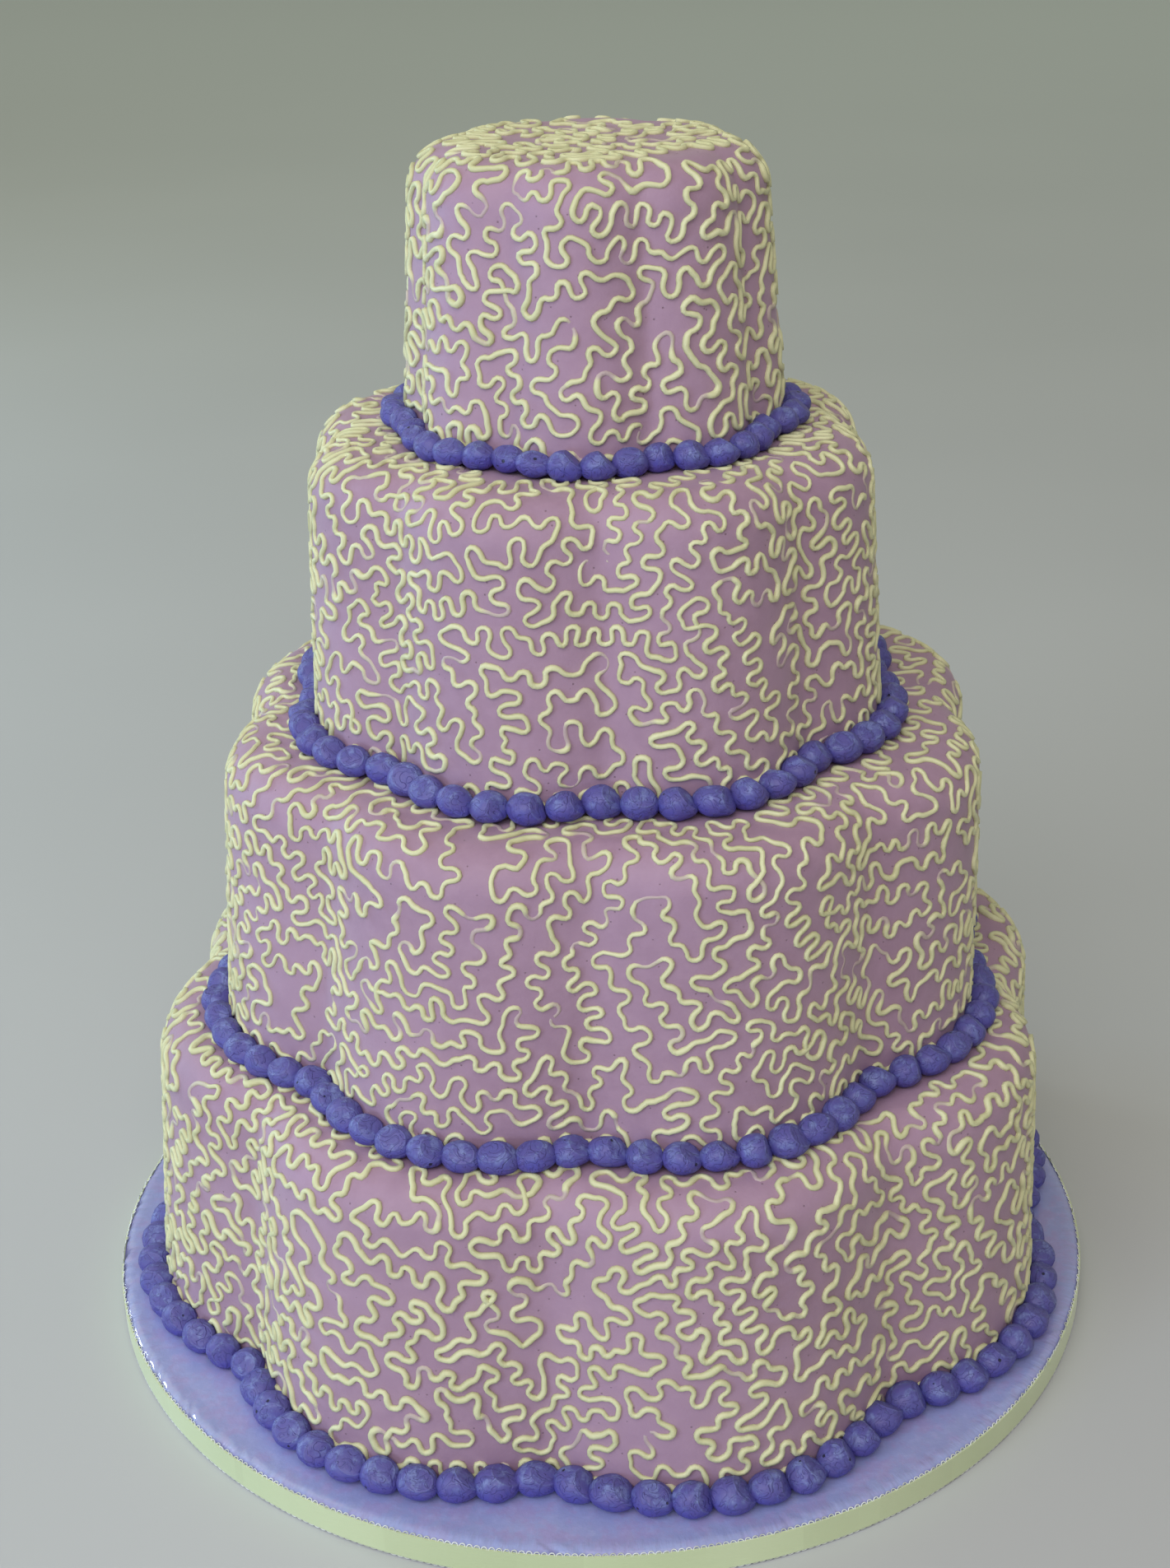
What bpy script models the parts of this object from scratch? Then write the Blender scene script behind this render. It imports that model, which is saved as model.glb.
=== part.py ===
"""Four-tier petal wedding cake on its covered board, in metres, +Z up.

The origin is the centre of the board's underside, and the cake's front is -Y. From the bottom up: a round
covered board with a ribbon round its edge, then four tiers of eight round petals each. Every tier has a border
of piped pearls round its foot, and squiggles of piped lace in relief on its wall, shoulder and top.
"""

import math
import random
from collections import namedtuple

import bmesh
import bpy
from mathutils import Vector

# Between pieces that touch
GAP = 0.0003

# A sixteen-inch drum board, half an inch thick, and its ribbon
BOARD_RADIUS = 0.2032
BOARD_THICKNESS = 0.0127
BOARD_EDGE_ROUND = 0.0012
RIBBON_WIDTH = 0.0118
RIBBON_THICKNESS = 0.0004
BOARD_SIDES = 64

# A tier's outline: round petals with soft grooves between them
PETALS = 8
GROOVE_DEPTH = 0.087  # share of the radius at a petal's tip
GROOVE_SOFTNESS = 0.10
PETAL_FULLNESS = 1.06
SIDES_PER_PETAL = 6
GATHER = 0.08  # how far the outline's points gather at the grooves, as a share of a petal

# The icing rolls over from the wall to the top
SHOULDER = 0.016
SHOULDER_STEPS = 3

# Piped pearls: three sections each, at these shares of the pitch
PEARL_STATIONS = ((-0.5, 0.52), (-0.19, 1.0), (0.19, 1.0))  # (place, size)
PEARL_REACH = 0.0112
PEARL_HEIGHT = 0.0132
PEARL_UNEVEN = 0.07
PEARL_SECTION = ((0.0, 0.0), (0.0, 0.74), (0.52, 1.0), (1.0, 0.40))  # (reach, height)
PEARL_WALL_GAP = 0.0005

# Piped lace: a ridge half sunk in the icing
LACE_PROUD = 0.0016
LACE_SUNK = 0.0011
LACE_END = -0.0004  # the crest dips below the icing at both ends
LACE_HALF_BASE = 0.0022
LACE_STEP = 0.0062
LACE_STEPS = 8
LACE_SWING = 1.35  # radians to each side of the way the squiggle wanders
LACE_WAVE = 4.8  # steps in one wave
LACE_CELL_WIDTH = 0.092
LACE_CELL_HEIGHT = 0.048
LACE_JITTER = 0.004
LACE_CLEAR = 0.0035  # from a border

# radius: at a petal's tip, at the foot. taper: how much of it the wall loses by the top. centre: where the foot
# stands, for the tiers aren't stacked quite true. lean: drift to +X for each metre of height. turn: of a groove.
Tier = namedtuple("Tier", "name radius height taper turn centre lean pearls")
TIERS = (
    Tier("bottom", 0.1868, 0.1219, 0.0061, -7.4, (0.0017, 0.0045), 0.02, 83),
    Tier("third", 0.1528, 0.1171, 0.0044, -2.6, (0.0031, 0.0045), 0.03, 75),
    Tier("second", 0.1110, 0.1103, 0.0048, 1.3, (0.0039, 0.0045), -0.01, 55),
    Tier("top", 0.0698, 0.1003, 0.0064, 16.5, (0.0054, 0.0045), -0.01, 41),
)
SEED = 12

# Colours as linear RGB
FONDANT = ("fondant", (0.42, 0.27, 0.40), 0.62)
LACE = ("lace_icing", (0.76, 0.74, 0.48), 0.50)
PEARL_ICING = ("pearl_icing", (0.105, 0.095, 0.34), 0.42)
BOARD_COVER = ("board_cover", (0.30, 0.28, 0.56), 0.28)
RIBBON_SATIN = ("ribbon_satin", (0.66, 0.72, 0.42), 0.34)


def clear_scene():
    for obj in list(bpy.data.objects):
        bpy.data.objects.remove(obj, do_unlink=True)


def material(name, colour, roughness):
    made = bpy.data.materials.new(name)
    made.use_nodes = True
    shader = made.node_tree.nodes["Principled BSDF"]
    shader.inputs["Base Color"].default_value = (*colour, 1.0)
    shader.inputs["Roughness"].default_value = roughness
    shader.inputs["Metallic"].default_value = 0.0
    made.diffuse_color = (*colour, 1.0)
    return made


def loft(name, sections, materials, closed=False, collection=None):
    """A closed solid through sections of equal count, joined end to end or capped."""
    bm = bmesh.new()
    rings = [[bm.verts.new(point) for point in section] for section in sections]
    pairs = list(zip(rings, rings[1:]))
    if closed:
        pairs.append((rings[-1], rings[0]))
    else:
        bm.faces.new(rings[0])
        bm.faces.new(rings[-1])
    for first, second in pairs:
        for k, corner in enumerate(first):
            after = (k + 1) % len(first)
            bm.faces.new((corner, first[after], second[after], second[k]))
    bmesh.ops.recalc_face_normals(bm, faces=bm.faces)
    mesh = bpy.data.meshes.new(name)
    bm.to_mesh(mesh)
    bm.free()
    for made in materials:
        mesh.materials.append(made)
    obj = bpy.data.objects.new(name, mesh)
    (collection or bpy.context.scene.collection).objects.link(obj)
    return obj


def shade(obj, sharp_over_degrees):
    obj.data.shade_smooth()
    obj.data.set_sharp_from_angle(angle=math.radians(sharp_over_degrees))


def circle(radius, z, sides):
    angles = [2 * math.pi * k / sides for k in range(sides)]
    return [Vector((radius * math.cos(a), radius * math.sin(a), z)) for a in angles]


def build_board(cover):
    rings = (
        circle(BOARD_RADIUS, 0.0, BOARD_SIDES),
        circle(BOARD_RADIUS, BOARD_THICKNESS - BOARD_EDGE_ROUND, BOARD_SIDES),
        circle(BOARD_RADIUS - BOARD_EDGE_ROUND, BOARD_THICKNESS, BOARD_SIDES),
    )
    shade(loft("board", rings, [cover]), 30)


def build_ribbon(satin):
    inside = BOARD_RADIUS + GAP
    outside = inside + RIBBON_THICKNESS
    low = (BOARD_THICKNESS - RIBBON_WIDTH) / 2
    corners = ((inside, low), (outside, low), (outside, low + RIBBON_WIDTH), (inside, low + RIBBON_WIDTH))
    rings = [circle(radius, z, BOARD_SIDES) for radius, z in corners]
    shade(loft("ribbon", rings, [satin], closed=True), 30)


def petal(angle, turn):
    """Share of the petal-tip radius at this angle, counted from the front towards +X."""
    wave = math.sin(PETALS / 2 * (angle - turn))
    crest = math.hypot(wave, GROOVE_SOFTNESS) / math.hypot(1.0, GROOVE_SOFTNESS)
    return 1.0 - GROOVE_DEPTH * max(0.0, 1.0 - crest) ** PETAL_FULLNESS


def wall_length(tier):
    return tier.height - SHOULDER


def shoulder_end(tier):
    """Distance up the wall and over the shoulder, to where the flat top starts."""
    return wall_length(tier) + SHOULDER * math.pi / 2


def profile(tier, along):
    """(tip radius, height above the foot) at a distance up the wall, over the shoulder and in over the top."""
    wall = wall_length(tier)
    if along <= wall:
        return tier.radius - tier.taper * along / wall, along
    rim = tier.radius - tier.taper
    if along <= shoulder_end(tier):
        turned = (along - wall) / SHOULDER
        return rim - SHOULDER * (1 - math.cos(turned)), wall + SHOULDER * math.sin(turned)
    return rim - SHOULDER - (along - shoulder_end(tier)), tier.height


def on_tier(tier, foot, angle, along, out=0.0):
    """A point on the tier's surface, moved out from its middle by a further distance."""
    tip_radius, height = profile(tier, along)
    radius = tip_radius * petal(angle, math.radians(tier.turn)) + out
    x = tier.centre[0] + tier.lean * height + radius * math.sin(angle)
    y = tier.centre[1] - radius * math.cos(angle)
    return Vector((x, y, foot + height))


def facing(tier, foot, angle, along):
    """The surface's outward direction, from two short steps on it."""
    step = 1e-4
    across = on_tier(tier, foot, angle + step / tier.radius, along) - on_tier(tier, foot, angle, along)
    upward = on_tier(tier, foot, angle, along + step) - on_tier(tier, foot, angle, along)
    return across.cross(upward).normalized()


def outline_angles(tier):
    """Angles round a tier, from its first groove, closer together near each groove."""
    angles = []
    for k in range(PETALS * SIDES_PER_PETAL):
        petals_on = k / SIDES_PER_PETAL
        petals_on -= GATHER * math.sin(2 * math.pi * petals_on)
        angles.append(math.radians(tier.turn) + 2 * math.pi / PETALS * petals_on)
    return angles


def build_tier_body(tier, foot, materials):
    wall = wall_length(tier)
    arc = shoulder_end(tier) - wall
    stops = [0.0] + [wall + arc * k / SHOULDER_STEPS for k in range(SHOULDER_STEPS + 1)]
    angles = outline_angles(tier)
    rings = [[on_tier(tier, foot, angle, along) for angle in angles] for along in stops]
    return loft(f"tier_{tier.name}", rings, materials)


def evenly_round(tier, count, out):
    """Angles at equal steps along a line that runs round the tier's foot, a little way out from it."""
    fine = 1440
    angles = [2 * math.pi * k / fine for k in range(fine + 1)]
    points = [on_tier(tier, 0.0, angle, 0.0, out) for angle in angles]
    travelled = [0.0]
    for before, after in zip(points, points[1:]):
        travelled.append(travelled[-1] + (after - before).length)

    def angle_at(distance):
        distance %= travelled[-1]
        k = next(i for i in range(fine) if travelled[i + 1] >= distance)
        share = (distance - travelled[k]) / (travelled[k + 1] - travelled[k])
        return angles[k] + share * (angles[k + 1] - angles[k])

    return [lambda place, n=n: angle_at((n + place) * travelled[-1] / count) for n in range(count)]


def build_border(tier, foot, icing, rng):
    """A string of piped pearls, flat against the wall and domed outwards."""
    sections = []
    for pearl_angle in evenly_round(tier, tier.pearls, PEARL_REACH / 2):
        uneven = 1 + rng.uniform(-PEARL_UNEVEN, PEARL_UNEVEN)
        for place, size in PEARL_STATIONS:
            angle = pearl_angle(place)
            scale = size * (uneven if size == 1.0 else 1.0)
            section = []
            for reach, height in PEARL_SECTION:
                point = on_tier(tier, foot, angle, 0.0, PEARL_WALL_GAP + reach * scale * PEARL_REACH)
                point.z += height * scale * PEARL_HEIGHT
                section.append(point)
            sections.append(section)
    shade(loft(f"border_{tier.name}", sections, [icing], closed=True), 60)


def squiggle(rng):
    """A wandering line of equal steps in a plane, centred on the origin: its heading swings from side to side."""
    heading = rng.uniform(0, 2 * math.pi)
    start = rng.uniform(0, 2 * math.pi)
    wave = LACE_WAVE * rng.uniform(0.85, 1.15)
    swing = LACE_SWING * rng.uniform(0.85, 1.1)
    points = [Vector((0.0, 0.0))]
    for k in range(LACE_STEPS):
        turned = heading + swing * math.sin(start + 2 * math.pi * k / wave)
        points.append(points[-1] + LACE_STEP * Vector((math.cos(turned), math.sin(turned))))
    middle = sum(points, Vector((0.0, 0.0))) / len(points)
    return [point - middle for point in points]


def ridge(points, normals, materials, collection):
    """A three-sided ridge that follows points on a surface, its base and both its ends sunk below it."""
    sections = []
    last = len(points) - 1
    for k, (point, normal) in enumerate(zip(points, normals)):
        ahead = points[min(k + 1, last)] - points[max(k - 1, 0)]
        side = normal.cross(ahead).normalized() * LACE_HALF_BASE
        base = point - normal * LACE_SUNK
        crest = LACE_PROUD if 0 < k < last else LACE_END
        sections.append((base - side, base + side, point + normal * crest))
    made = loft("squiggle", sections, materials, collection=collection)
    for face in made.data.polygons:
        face.material_index = 1


def wall_squiggles(tier, foot, low, high, rng):
    """Squiggles spread over the wall and the shoulder, one in each cell of a brick pattern."""
    rows = max(1, round((high - low) / LACE_CELL_HEIGHT))
    for row in range(rows):
        middle = low + (high - low) * (row + 0.5) / rows
        tip_radius, _ = profile(tier, middle)
        columns = round(2 * math.pi * tip_radius / LACE_CELL_WIDTH)
        for column in range(columns):
            centre = 2 * math.pi * (column + 0.5 * (row % 2)) / columns
            path = squiggle(rng)
            lift = middle + rng.uniform(-LACE_JITTER, LACE_JITTER)
            lift += max(0.0, low - lift - min(p.y for p in path))
            lift -= max(0.0, lift + max(p.y for p in path) - high)
            places = [(centre + p.x / tip_radius, lift + p.y) for p in path]
            points = [on_tier(tier, foot, angle, along) for angle, along in places]
            yield points, [facing(tier, foot, angle, along) for angle, along in places]


def top_squiggles(tier, foot, rng):
    """Squiggles on the flat of the topmost tier: one in the middle and a ring round it."""
    flat = profile(tier, shoulder_end(tier))[0] * (1 - GROOVE_DEPTH)
    ring = flat - LACE_CELL_HEIGHT / 2
    around = round(2 * math.pi * ring / LACE_CELL_WIDTH * 1.4)
    middle = Vector((tier.centre[0] + tier.lean * tier.height, tier.centre[1], foot + tier.height))
    centres = [Vector((0.0, 0.0, 0.0))]
    for k in range(around):
        angle = 2 * math.pi * k / around
        centres.append(Vector((ring * math.cos(angle), ring * math.sin(angle), 0.0)))
    for centre in centres:
        points = [middle + centre + Vector((p.x, p.y, 0.0)) for p in squiggle(rng)]
        yield points, [Vector((0.0, 0.0, 1.0))] * len(points)


def connected_bodies(bm):
    """The mesh's separate bodies, each as a set of its vertices."""
    unseen = set(bm.verts)
    bodies = []
    while unseen:
        front = [unseen.pop()]
        body = set(front)
        while front:
            vert = front.pop()
            for edge in vert.link_edges:
                other = edge.other_vert(vert)
                if other in unseen:
                    unseen.remove(other)
                    body.add(other)
                    front.append(other)
        bodies.append(body)
    return bodies


def tidy_union(mesh):
    """Drops what a union leaves over: loose scraps and sealed hollows, and points that only split an edge."""
    bm = bmesh.new()
    bm.from_mesh(mesh)
    bodies = sorted(connected_bodies(bm), key=len)
    scraps = [vert for body in bodies[:-1] for vert in body]
    bmesh.ops.delete(bm, geom=scraps, context="VERTS")
    bmesh.ops.dissolve_verts(bm, verts=[vert for vert in bm.verts if len(vert.link_edges) == 2])
    bm.to_mesh(mesh)
    bm.free()


def build_tier(tier, above, foot, materials, rng):
    """The tier's body with its lace joined on by one union. above is the tier that stands on it, if any."""
    body = build_tier_body(tier, foot, materials)
    strokes = bpy.data.collections.new(f"lace_{tier.name}")
    bpy.context.scene.collection.children.link(strokes)

    low = PEARL_HEIGHT * (1 + PEARL_UNEVEN) + LACE_CLEAR
    high = shoulder_end(tier)
    if above:
        covered = above.radius + PEARL_REACH * (1 + PEARL_UNEVEN) + LACE_CLEAR
        flat_width = profile(tier, high)[0] - covered
        high += min(0.0, flat_width)
    squiggles = list(wall_squiggles(tier, foot, low, high, rng))
    if not above:
        squiggles += top_squiggles(tier, foot, rng)
    for points, normals in squiggles:
        ridge(points, normals, materials, strokes)

    union = body.modifiers.new("lace", "BOOLEAN")
    union.operation = "UNION"
    union.operand_type = "COLLECTION"
    union.collection = strokes
    union.solver = "EXACT"
    graph = bpy.context.evaluated_depsgraph_get()
    joined = bpy.data.meshes.new_from_object(body.evaluated_get(graph))
    body.modifiers.remove(union)
    tidy_union(joined)
    body.data = joined
    for stroke in list(strokes.objects):
        bpy.data.objects.remove(stroke, do_unlink=True)
    bpy.data.collections.remove(strokes)
    shade(body, 35)


def main():
    clear_scene()
    tier_icing = [material(*FONDANT), material(*LACE)]
    pearls = material(*PEARL_ICING)
    build_board(material(*BOARD_COVER))
    build_ribbon(material(*RIBBON_SATIN))
    rng = random.Random(SEED)
    foot = BOARD_THICKNESS + GAP
    for tier, above in zip(TIERS, TIERS[1:] + (None,)):
        build_tier(tier, above, foot, tier_icing, rng)
        build_border(tier, foot, pearls, rng)
        foot += tier.height + GAP


main()
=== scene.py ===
# %% [markdown]
# A four-tier wedding cake
#
# Every tier is a petal-shaped cake under mauve sugar paste, with a pale yellow line of royal icing piped over all
# of it and a string of violet buttercream pearls round its foot. The cake stands on a covered drum board with a
# ribbon round the edge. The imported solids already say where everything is. This lesson dresses them: it makes the
# fine surface of each piece, gives it a finish, and sets up the light and the camera.

# %% Load the frame
import math
import random
from collections import namedtuple

import bpy
import numpy as np
from mathutils import Matrix, Vector


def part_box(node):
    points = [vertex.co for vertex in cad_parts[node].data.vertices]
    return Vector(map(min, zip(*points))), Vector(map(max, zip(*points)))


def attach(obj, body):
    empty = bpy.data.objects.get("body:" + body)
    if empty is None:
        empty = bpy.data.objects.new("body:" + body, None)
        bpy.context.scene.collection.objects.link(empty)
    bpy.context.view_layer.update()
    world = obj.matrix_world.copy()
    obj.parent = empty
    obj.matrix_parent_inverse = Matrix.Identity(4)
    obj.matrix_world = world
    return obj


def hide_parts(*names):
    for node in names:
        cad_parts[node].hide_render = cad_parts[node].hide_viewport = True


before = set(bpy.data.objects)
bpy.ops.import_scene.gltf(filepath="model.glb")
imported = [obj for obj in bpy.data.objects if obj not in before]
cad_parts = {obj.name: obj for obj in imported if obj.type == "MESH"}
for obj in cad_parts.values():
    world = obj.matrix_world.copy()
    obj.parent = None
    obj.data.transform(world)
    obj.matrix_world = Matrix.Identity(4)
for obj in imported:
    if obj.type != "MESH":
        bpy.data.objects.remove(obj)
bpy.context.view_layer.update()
scene = bpy.context.scene
print("solids:", sorted(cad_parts))

# %% [markdown]
# The camera
#
# The picture is taken from a little above the cake, so that every tier shows some of its top. The lens and the place
# were found by fitting one camera to the pearls, so they are set here as plain measures: a 52 mm lens on a sensor
# 36 mm tall, 0.81 m in front of the cake and 0.6 m up. Building the matrix from three directions keeps the small
# roll of a hand-held camera, which two angles alone would leave out.

# %% Camera
LENS = 51.93  # millimetres
SENSOR = 36.0
CAMERA_PLACE = Vector((-0.0016, -0.8082, 0.5969))
LOOK_DOWN = math.radians(25.2)
ROLL = math.radians(-1.46)


def add_camera():
    data = bpy.data.cameras.new("camera")
    data.lens = LENS
    data.sensor_fit = "VERTICAL"
    data.sensor_height = SENSOR
    camera = bpy.data.objects.new("camera", data)
    scene.collection.objects.link(camera)
    ahead = Vector((0.0, math.cos(LOOK_DOWN), -math.sin(LOOK_DOWN)))
    level = Vector((1.0, 0.0, 0.0))
    upward = level.cross(ahead)
    right = math.cos(ROLL) * level + math.sin(ROLL) * upward
    top = math.cos(ROLL) * upward - math.sin(ROLL) * level
    turn = Matrix((right, top, -ahead)).transposed()
    camera.matrix_world = Matrix.Translation(CAMERA_PLACE) @ turn.to_4x4()
    scene.camera = camera


add_camera()
scene.view_settings.view_transform = "Standard"
print("camera at", tuple(CAMERA_PLACE))

# %% [markdown]
# Writing node trees as sums
#
# Both finishes and Geometry Nodes are trees of small nodes, and most of them are plain arithmetic. Wiring those by
# hand hides the rule that they follow. The class below wraps one output socket, so that an expression such as
# `1 - mask` adds its Math node by itself. Its method `node` makes any other kind of node from its settings and from
# the values or wires of its sockets.

# %% The Wire class
class Wire:
    """An output socket of a node tree, used in sums. A Wire with no socket only stands for its tree."""

    def __init__(self, tree, socket=None):
        self.tree = tree
        self.socket = socket

    def node(self, kind, settings=None, sockets=None, out=0):
        made = self.tree.nodes.new(kind)
        for name, value in (settings or {}).items():
            setattr(made, name, value)
        for name, value in (sockets or {}).items():
            feed(made.inputs[name], value)
        return Wire(self.tree, made.outputs[out])

    def maths(self, operation, *terms):
        return self.node("ShaderNodeMath", {"operation": operation}, dict(enumerate(terms)))

    def vectors(self, operation, *terms):
        out = 1 if operation == "DOT_PRODUCT" else 0
        return self.node("ShaderNodeVectorMath", {"operation": operation}, dict(enumerate(terms)), out)

    def scaled(self, vector, size):
        """A vector times a number."""
        return self.node("ShaderNodeVectorMath", {"operation": "SCALE"}, {0: vector, "Scale": size})

    def chance(self, kind, low, high, seed):
        """A random value for each point, from low to high."""
        out = ("FLOAT_VECTOR", "FLOAT", "INT").index(kind)
        sockets = {2 * out: low, 2 * out + 1: high, "Seed": seed}
        return self.node("FunctionNodeRandomValue", {"data_type": kind}, sockets, out)

    def __add__(self, other):
        return self.maths("ADD", self, other)

    __radd__ = __add__

    def __sub__(self, other):
        return self.maths("SUBTRACT", self, other)

    def __rsub__(self, other):
        return self.maths("SUBTRACT", other, self)

    def __mul__(self, other):
        return self.maths("MULTIPLY", self, other)

    __rmul__ = __mul__

    def __truediv__(self, other):
        return self.maths("DIVIDE", self, other)

    def __rtruediv__(self, other):
        return self.maths("DIVIDE", other, self)

    def __pow__(self, other):
        return self.maths("POWER", self, other)

    def within(self, low, high):
        """The value held between two limits."""
        return self.maths("MINIMUM", self.maths("MAXIMUM", self, low), high)

    def step(self, low, high):
        """A soft step, from 0 at low to 1 at high."""
        sockets = {"Value": self, "From Min": low, "From Max": high}
        return self.node("ShaderNodeMapRange", {"interpolation_type": "SMOOTHSTEP"}, sockets)

    def blend(self, colour_at_0, colour_at_1):
        """A mix of two colours, with this value as the share of the second."""
        sockets = {0: self, 6: colour_at_0, 7: colour_at_1}
        return self.node("ShaderNodeMix", {"data_type": "RGBA"}, sockets, out=2)

    def parts(self):
        """The three numbers of a vector."""
        split = self.node("ShaderNodeSeparateXYZ", sockets={0: self}).socket.node
        return [Wire(self.tree, socket) for socket in split.outputs]

    def vector(self, x, y, z):
        return self.node("ShaderNodeCombineXYZ", sockets={0: x, 1: y, 2: z})


def feed(socket, value):
    if isinstance(value, Wire):
        socket.id_data.links.new(value.socket, socket)
    elif socket.type == "RGBA":
        socket.default_value = (*value, 1.0)
    else:
        socket.default_value = value


# %% [markdown]
# Starting a finish, and starting a shape
#
# A finish is a material with one Principled BSDF. Noise read from Object coordinates is in metres here, because all
# the finished pieces sit at the origin, so a scale of 100 means spots of about a centimetre. A shape is a Geometry
# Nodes tree with named inputs. It is worked out once, kept as a plain mesh, and its modifier is taken off.

# %% Helpers for finishes
def dress(shader, **sockets):
    """Gives values or wires to a shader's sockets. An underscore stands for the space in a name."""
    for name, value in sockets.items():
        feed(shader.inputs[name.replace("_", " ")], value)


def new_finish(name, **sockets):
    """A material, its Principled BSDF, and the wire of the place in metres."""
    material = bpy.data.materials.new(name)
    material.use_nodes = True
    shader = material.node_tree.nodes["Principled BSDF"]
    dress(shader, **sockets)
    return material, shader, Wire(material.node_tree).node("ShaderNodeTexCoord", out=3)


def kept(wire, name, out=2):
    """What each point keeps under a name. Output 2 is a number, and output 1 is a vector."""
    return wire.node("ShaderNodeAttribute", {"attribute_name": name}, out=out)


def noise(place, scale, detail=2.0, roughness=0.5, distortion=0.0):
    sockets = {"Vector": place, "Scale": scale, "Detail": detail, "Roughness": roughness, "Distortion": distortion}
    return place.node("ShaderNodeTexNoise", sockets=sockets)


def cells(place, scale, out=0):
    """Scattered cells. Output 0 is the distance to a cell's middle, and output 1 is a colour for each cell."""
    sockets = {"Vector": place, "Scale": scale, "Randomness": 1.0}
    return place.node("ShaderNodeTexVoronoi", sockets=sockets, out=out)


def bump(height, distance, strength):
    return height.node("ShaderNodeBump", sockets={"Height": height, "Distance": distance, "Strength": strength})


# %% Helpers for shapes
NUMBER, WHOLE, ARROW = "NodeSocketFloat", "NodeSocketInt", "NodeSocketVector"
PATH_SIDES = 720  # points of a ring on which pearls or loops are set out


def new_shape_tree(name, inputs):
    """A wire that stands for a new Geometry Nodes tree, and a wire for each of its named inputs. The inputs are
    given as {name: (socket type, default)}."""
    tree = bpy.data.node_groups.new(name, "GeometryNodeTree")
    tree.interface.new_socket("Geometry", in_out="INPUT", socket_type="NodeSocketGeometry")
    for title, (kind, default) in inputs.items():
        tree.interface.new_socket(title, in_out="INPUT", socket_type=kind).default_value = default
    tree.interface.new_socket("Geometry", in_out="OUTPUT", socket_type="NodeSocketGeometry")
    entry = tree.nodes.new("NodeGroupInput")
    return Wire(tree), {socket.name: Wire(tree, socket) for socket in entry.outputs if socket.name}


def set_points(shape, **sockets):
    """A shape with its points set to a Position, or moved by an Offset."""
    return shape.node("GeometryNodeSetPosition", sockets={"Geometry": shape, **sockets})


def pushed_out(shape, distance):
    """A shape with its points moved outwards along its own normals."""
    return set_points(shape, Offset=shape.scaled(shape.node("GeometryNodeInputNormal"), distance))


def keep(shape, name, kind, value, domain="POINT"):
    """A shape that keeps a value under a name."""
    settings = {"data_type": kind, "domain": domain}
    sockets = {"Geometry": shape, "Name": name, "Value": value}
    return shape.node("GeometryNodeStoreNamedAttribute", settings, sockets)


def points_along(shape, count):
    """Points at equal steps along a shape's loose edges, and the path's direction at each of them."""
    path = shape.node("GeometryNodeMeshToCurve", sockets={"Mesh": shape})
    points = shape.node("GeometryNodeCurveToPoints", sockets={"Curve": path, "Count": count})
    return points, Wire(shape.tree, points.socket.node.outputs["Tangent"])


def finish_tree(shape, material):
    """Ends a shape's tree in smooth shading, Realize Instances and Set Material, and returns the tree."""
    smooth = shape.node("GeometryNodeSetShadeSmooth", sockets={"Geometry": shape})
    real = shape.node("GeometryNodeRealizeInstances", sockets={"Geometry": smooth})
    dressed = shape.node("GeometryNodeSetMaterial", sockets={"Geometry": real, "Material": material})
    feed(shape.tree.nodes.new("NodeGroupOutput").inputs[0], dressed)
    return shape.tree


def full_turn(count):
    """Angles at equal steps, all the way round."""
    return np.linspace(0.0, 2 * math.pi, count, endpoint=False)


def ring_mesh(name, points):
    """A closed line as a mesh of loose edges."""
    mesh = bpy.data.meshes.new(name)
    count = len(points)
    mesh.from_pydata(points, [(k, (k + 1) % count) for k in range(count)], [])
    return mesh


def new_piece(name, points, faces, material):
    """An object whose mesh has one material."""
    mesh = bpy.data.meshes.new(name)
    mesh.from_pydata(points, [], faces)
    mesh.materials.append(material)
    obj = bpy.data.objects.new(name, mesh)
    scene.collection.objects.link(obj)
    return obj


def plain_mesh(name, tree, settings, start=None):
    """Runs a tree on a mesh, with its inputs set by their identifiers, and keeps the result as a plain mesh."""
    obj = bpy.data.objects.new(name, start or bpy.data.meshes.new(name))
    scene.collection.objects.link(obj)
    modifier = obj.modifiers.new(name, "NODES")
    modifier.node_group = tree
    identifiers = {item.name: item.identifier for item in tree.interface.items_tree if item.in_out == "INPUT"}
    for title, value in settings.items():
        modifier[identifiers[title]] = value
    graph = bpy.context.evaluated_depsgraph_get()
    made = bpy.data.meshes.new_from_object(obj.evaluated_get(graph))
    obj.modifiers.remove(modifier)
    obj.data = made
    made.name = name
    triangles = sum(len(face.vertices) - 2 for face in made.polygons)
    print(f"{name}: {triangles} triangles")
    return obj


# %% [markdown]
# The rule for a tier
#
# A petal tin has eight round lobes with soft grooves between them. Seen from above, the radius is a wave with its
# crests cut round: `sin` gives eight bumps, and a hypotenuse with a small softness rounds the sharp valleys. Up the
# side the paste leans in a little, rolls over a shoulder and lies flat on top. With `along` as the distance up the
# side and in over the top, one pair of numbers, angle and along, names any place on a tier. The icing uses this too.

# %% Tier sizes and the petal rule
PETALS = 8
GROOVE_DEPTH = 0.087
GROOVE_SOFTNESS = 0.10
PETAL_FULLNESS = 1.06
SHOULDER = 0.016

Tier = namedtuple("Tier", "name radius height taper turn centre lean pearls lace cord foot")


def tier(name, radius, height, taper, turn, centre, lean, pearls, lace, cord):
    """Sizes in metres. turn is the angle of a groove in degrees, counted from the front towards +X. pearls is their
    number, lace is the length of piped line on each square metre, and cord is half of its width."""
    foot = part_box(f"tier_{name}")[0].z
    return Tier(name, radius, height, taper, math.radians(turn), centre, lean, pearls, lace, cord, foot)


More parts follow.
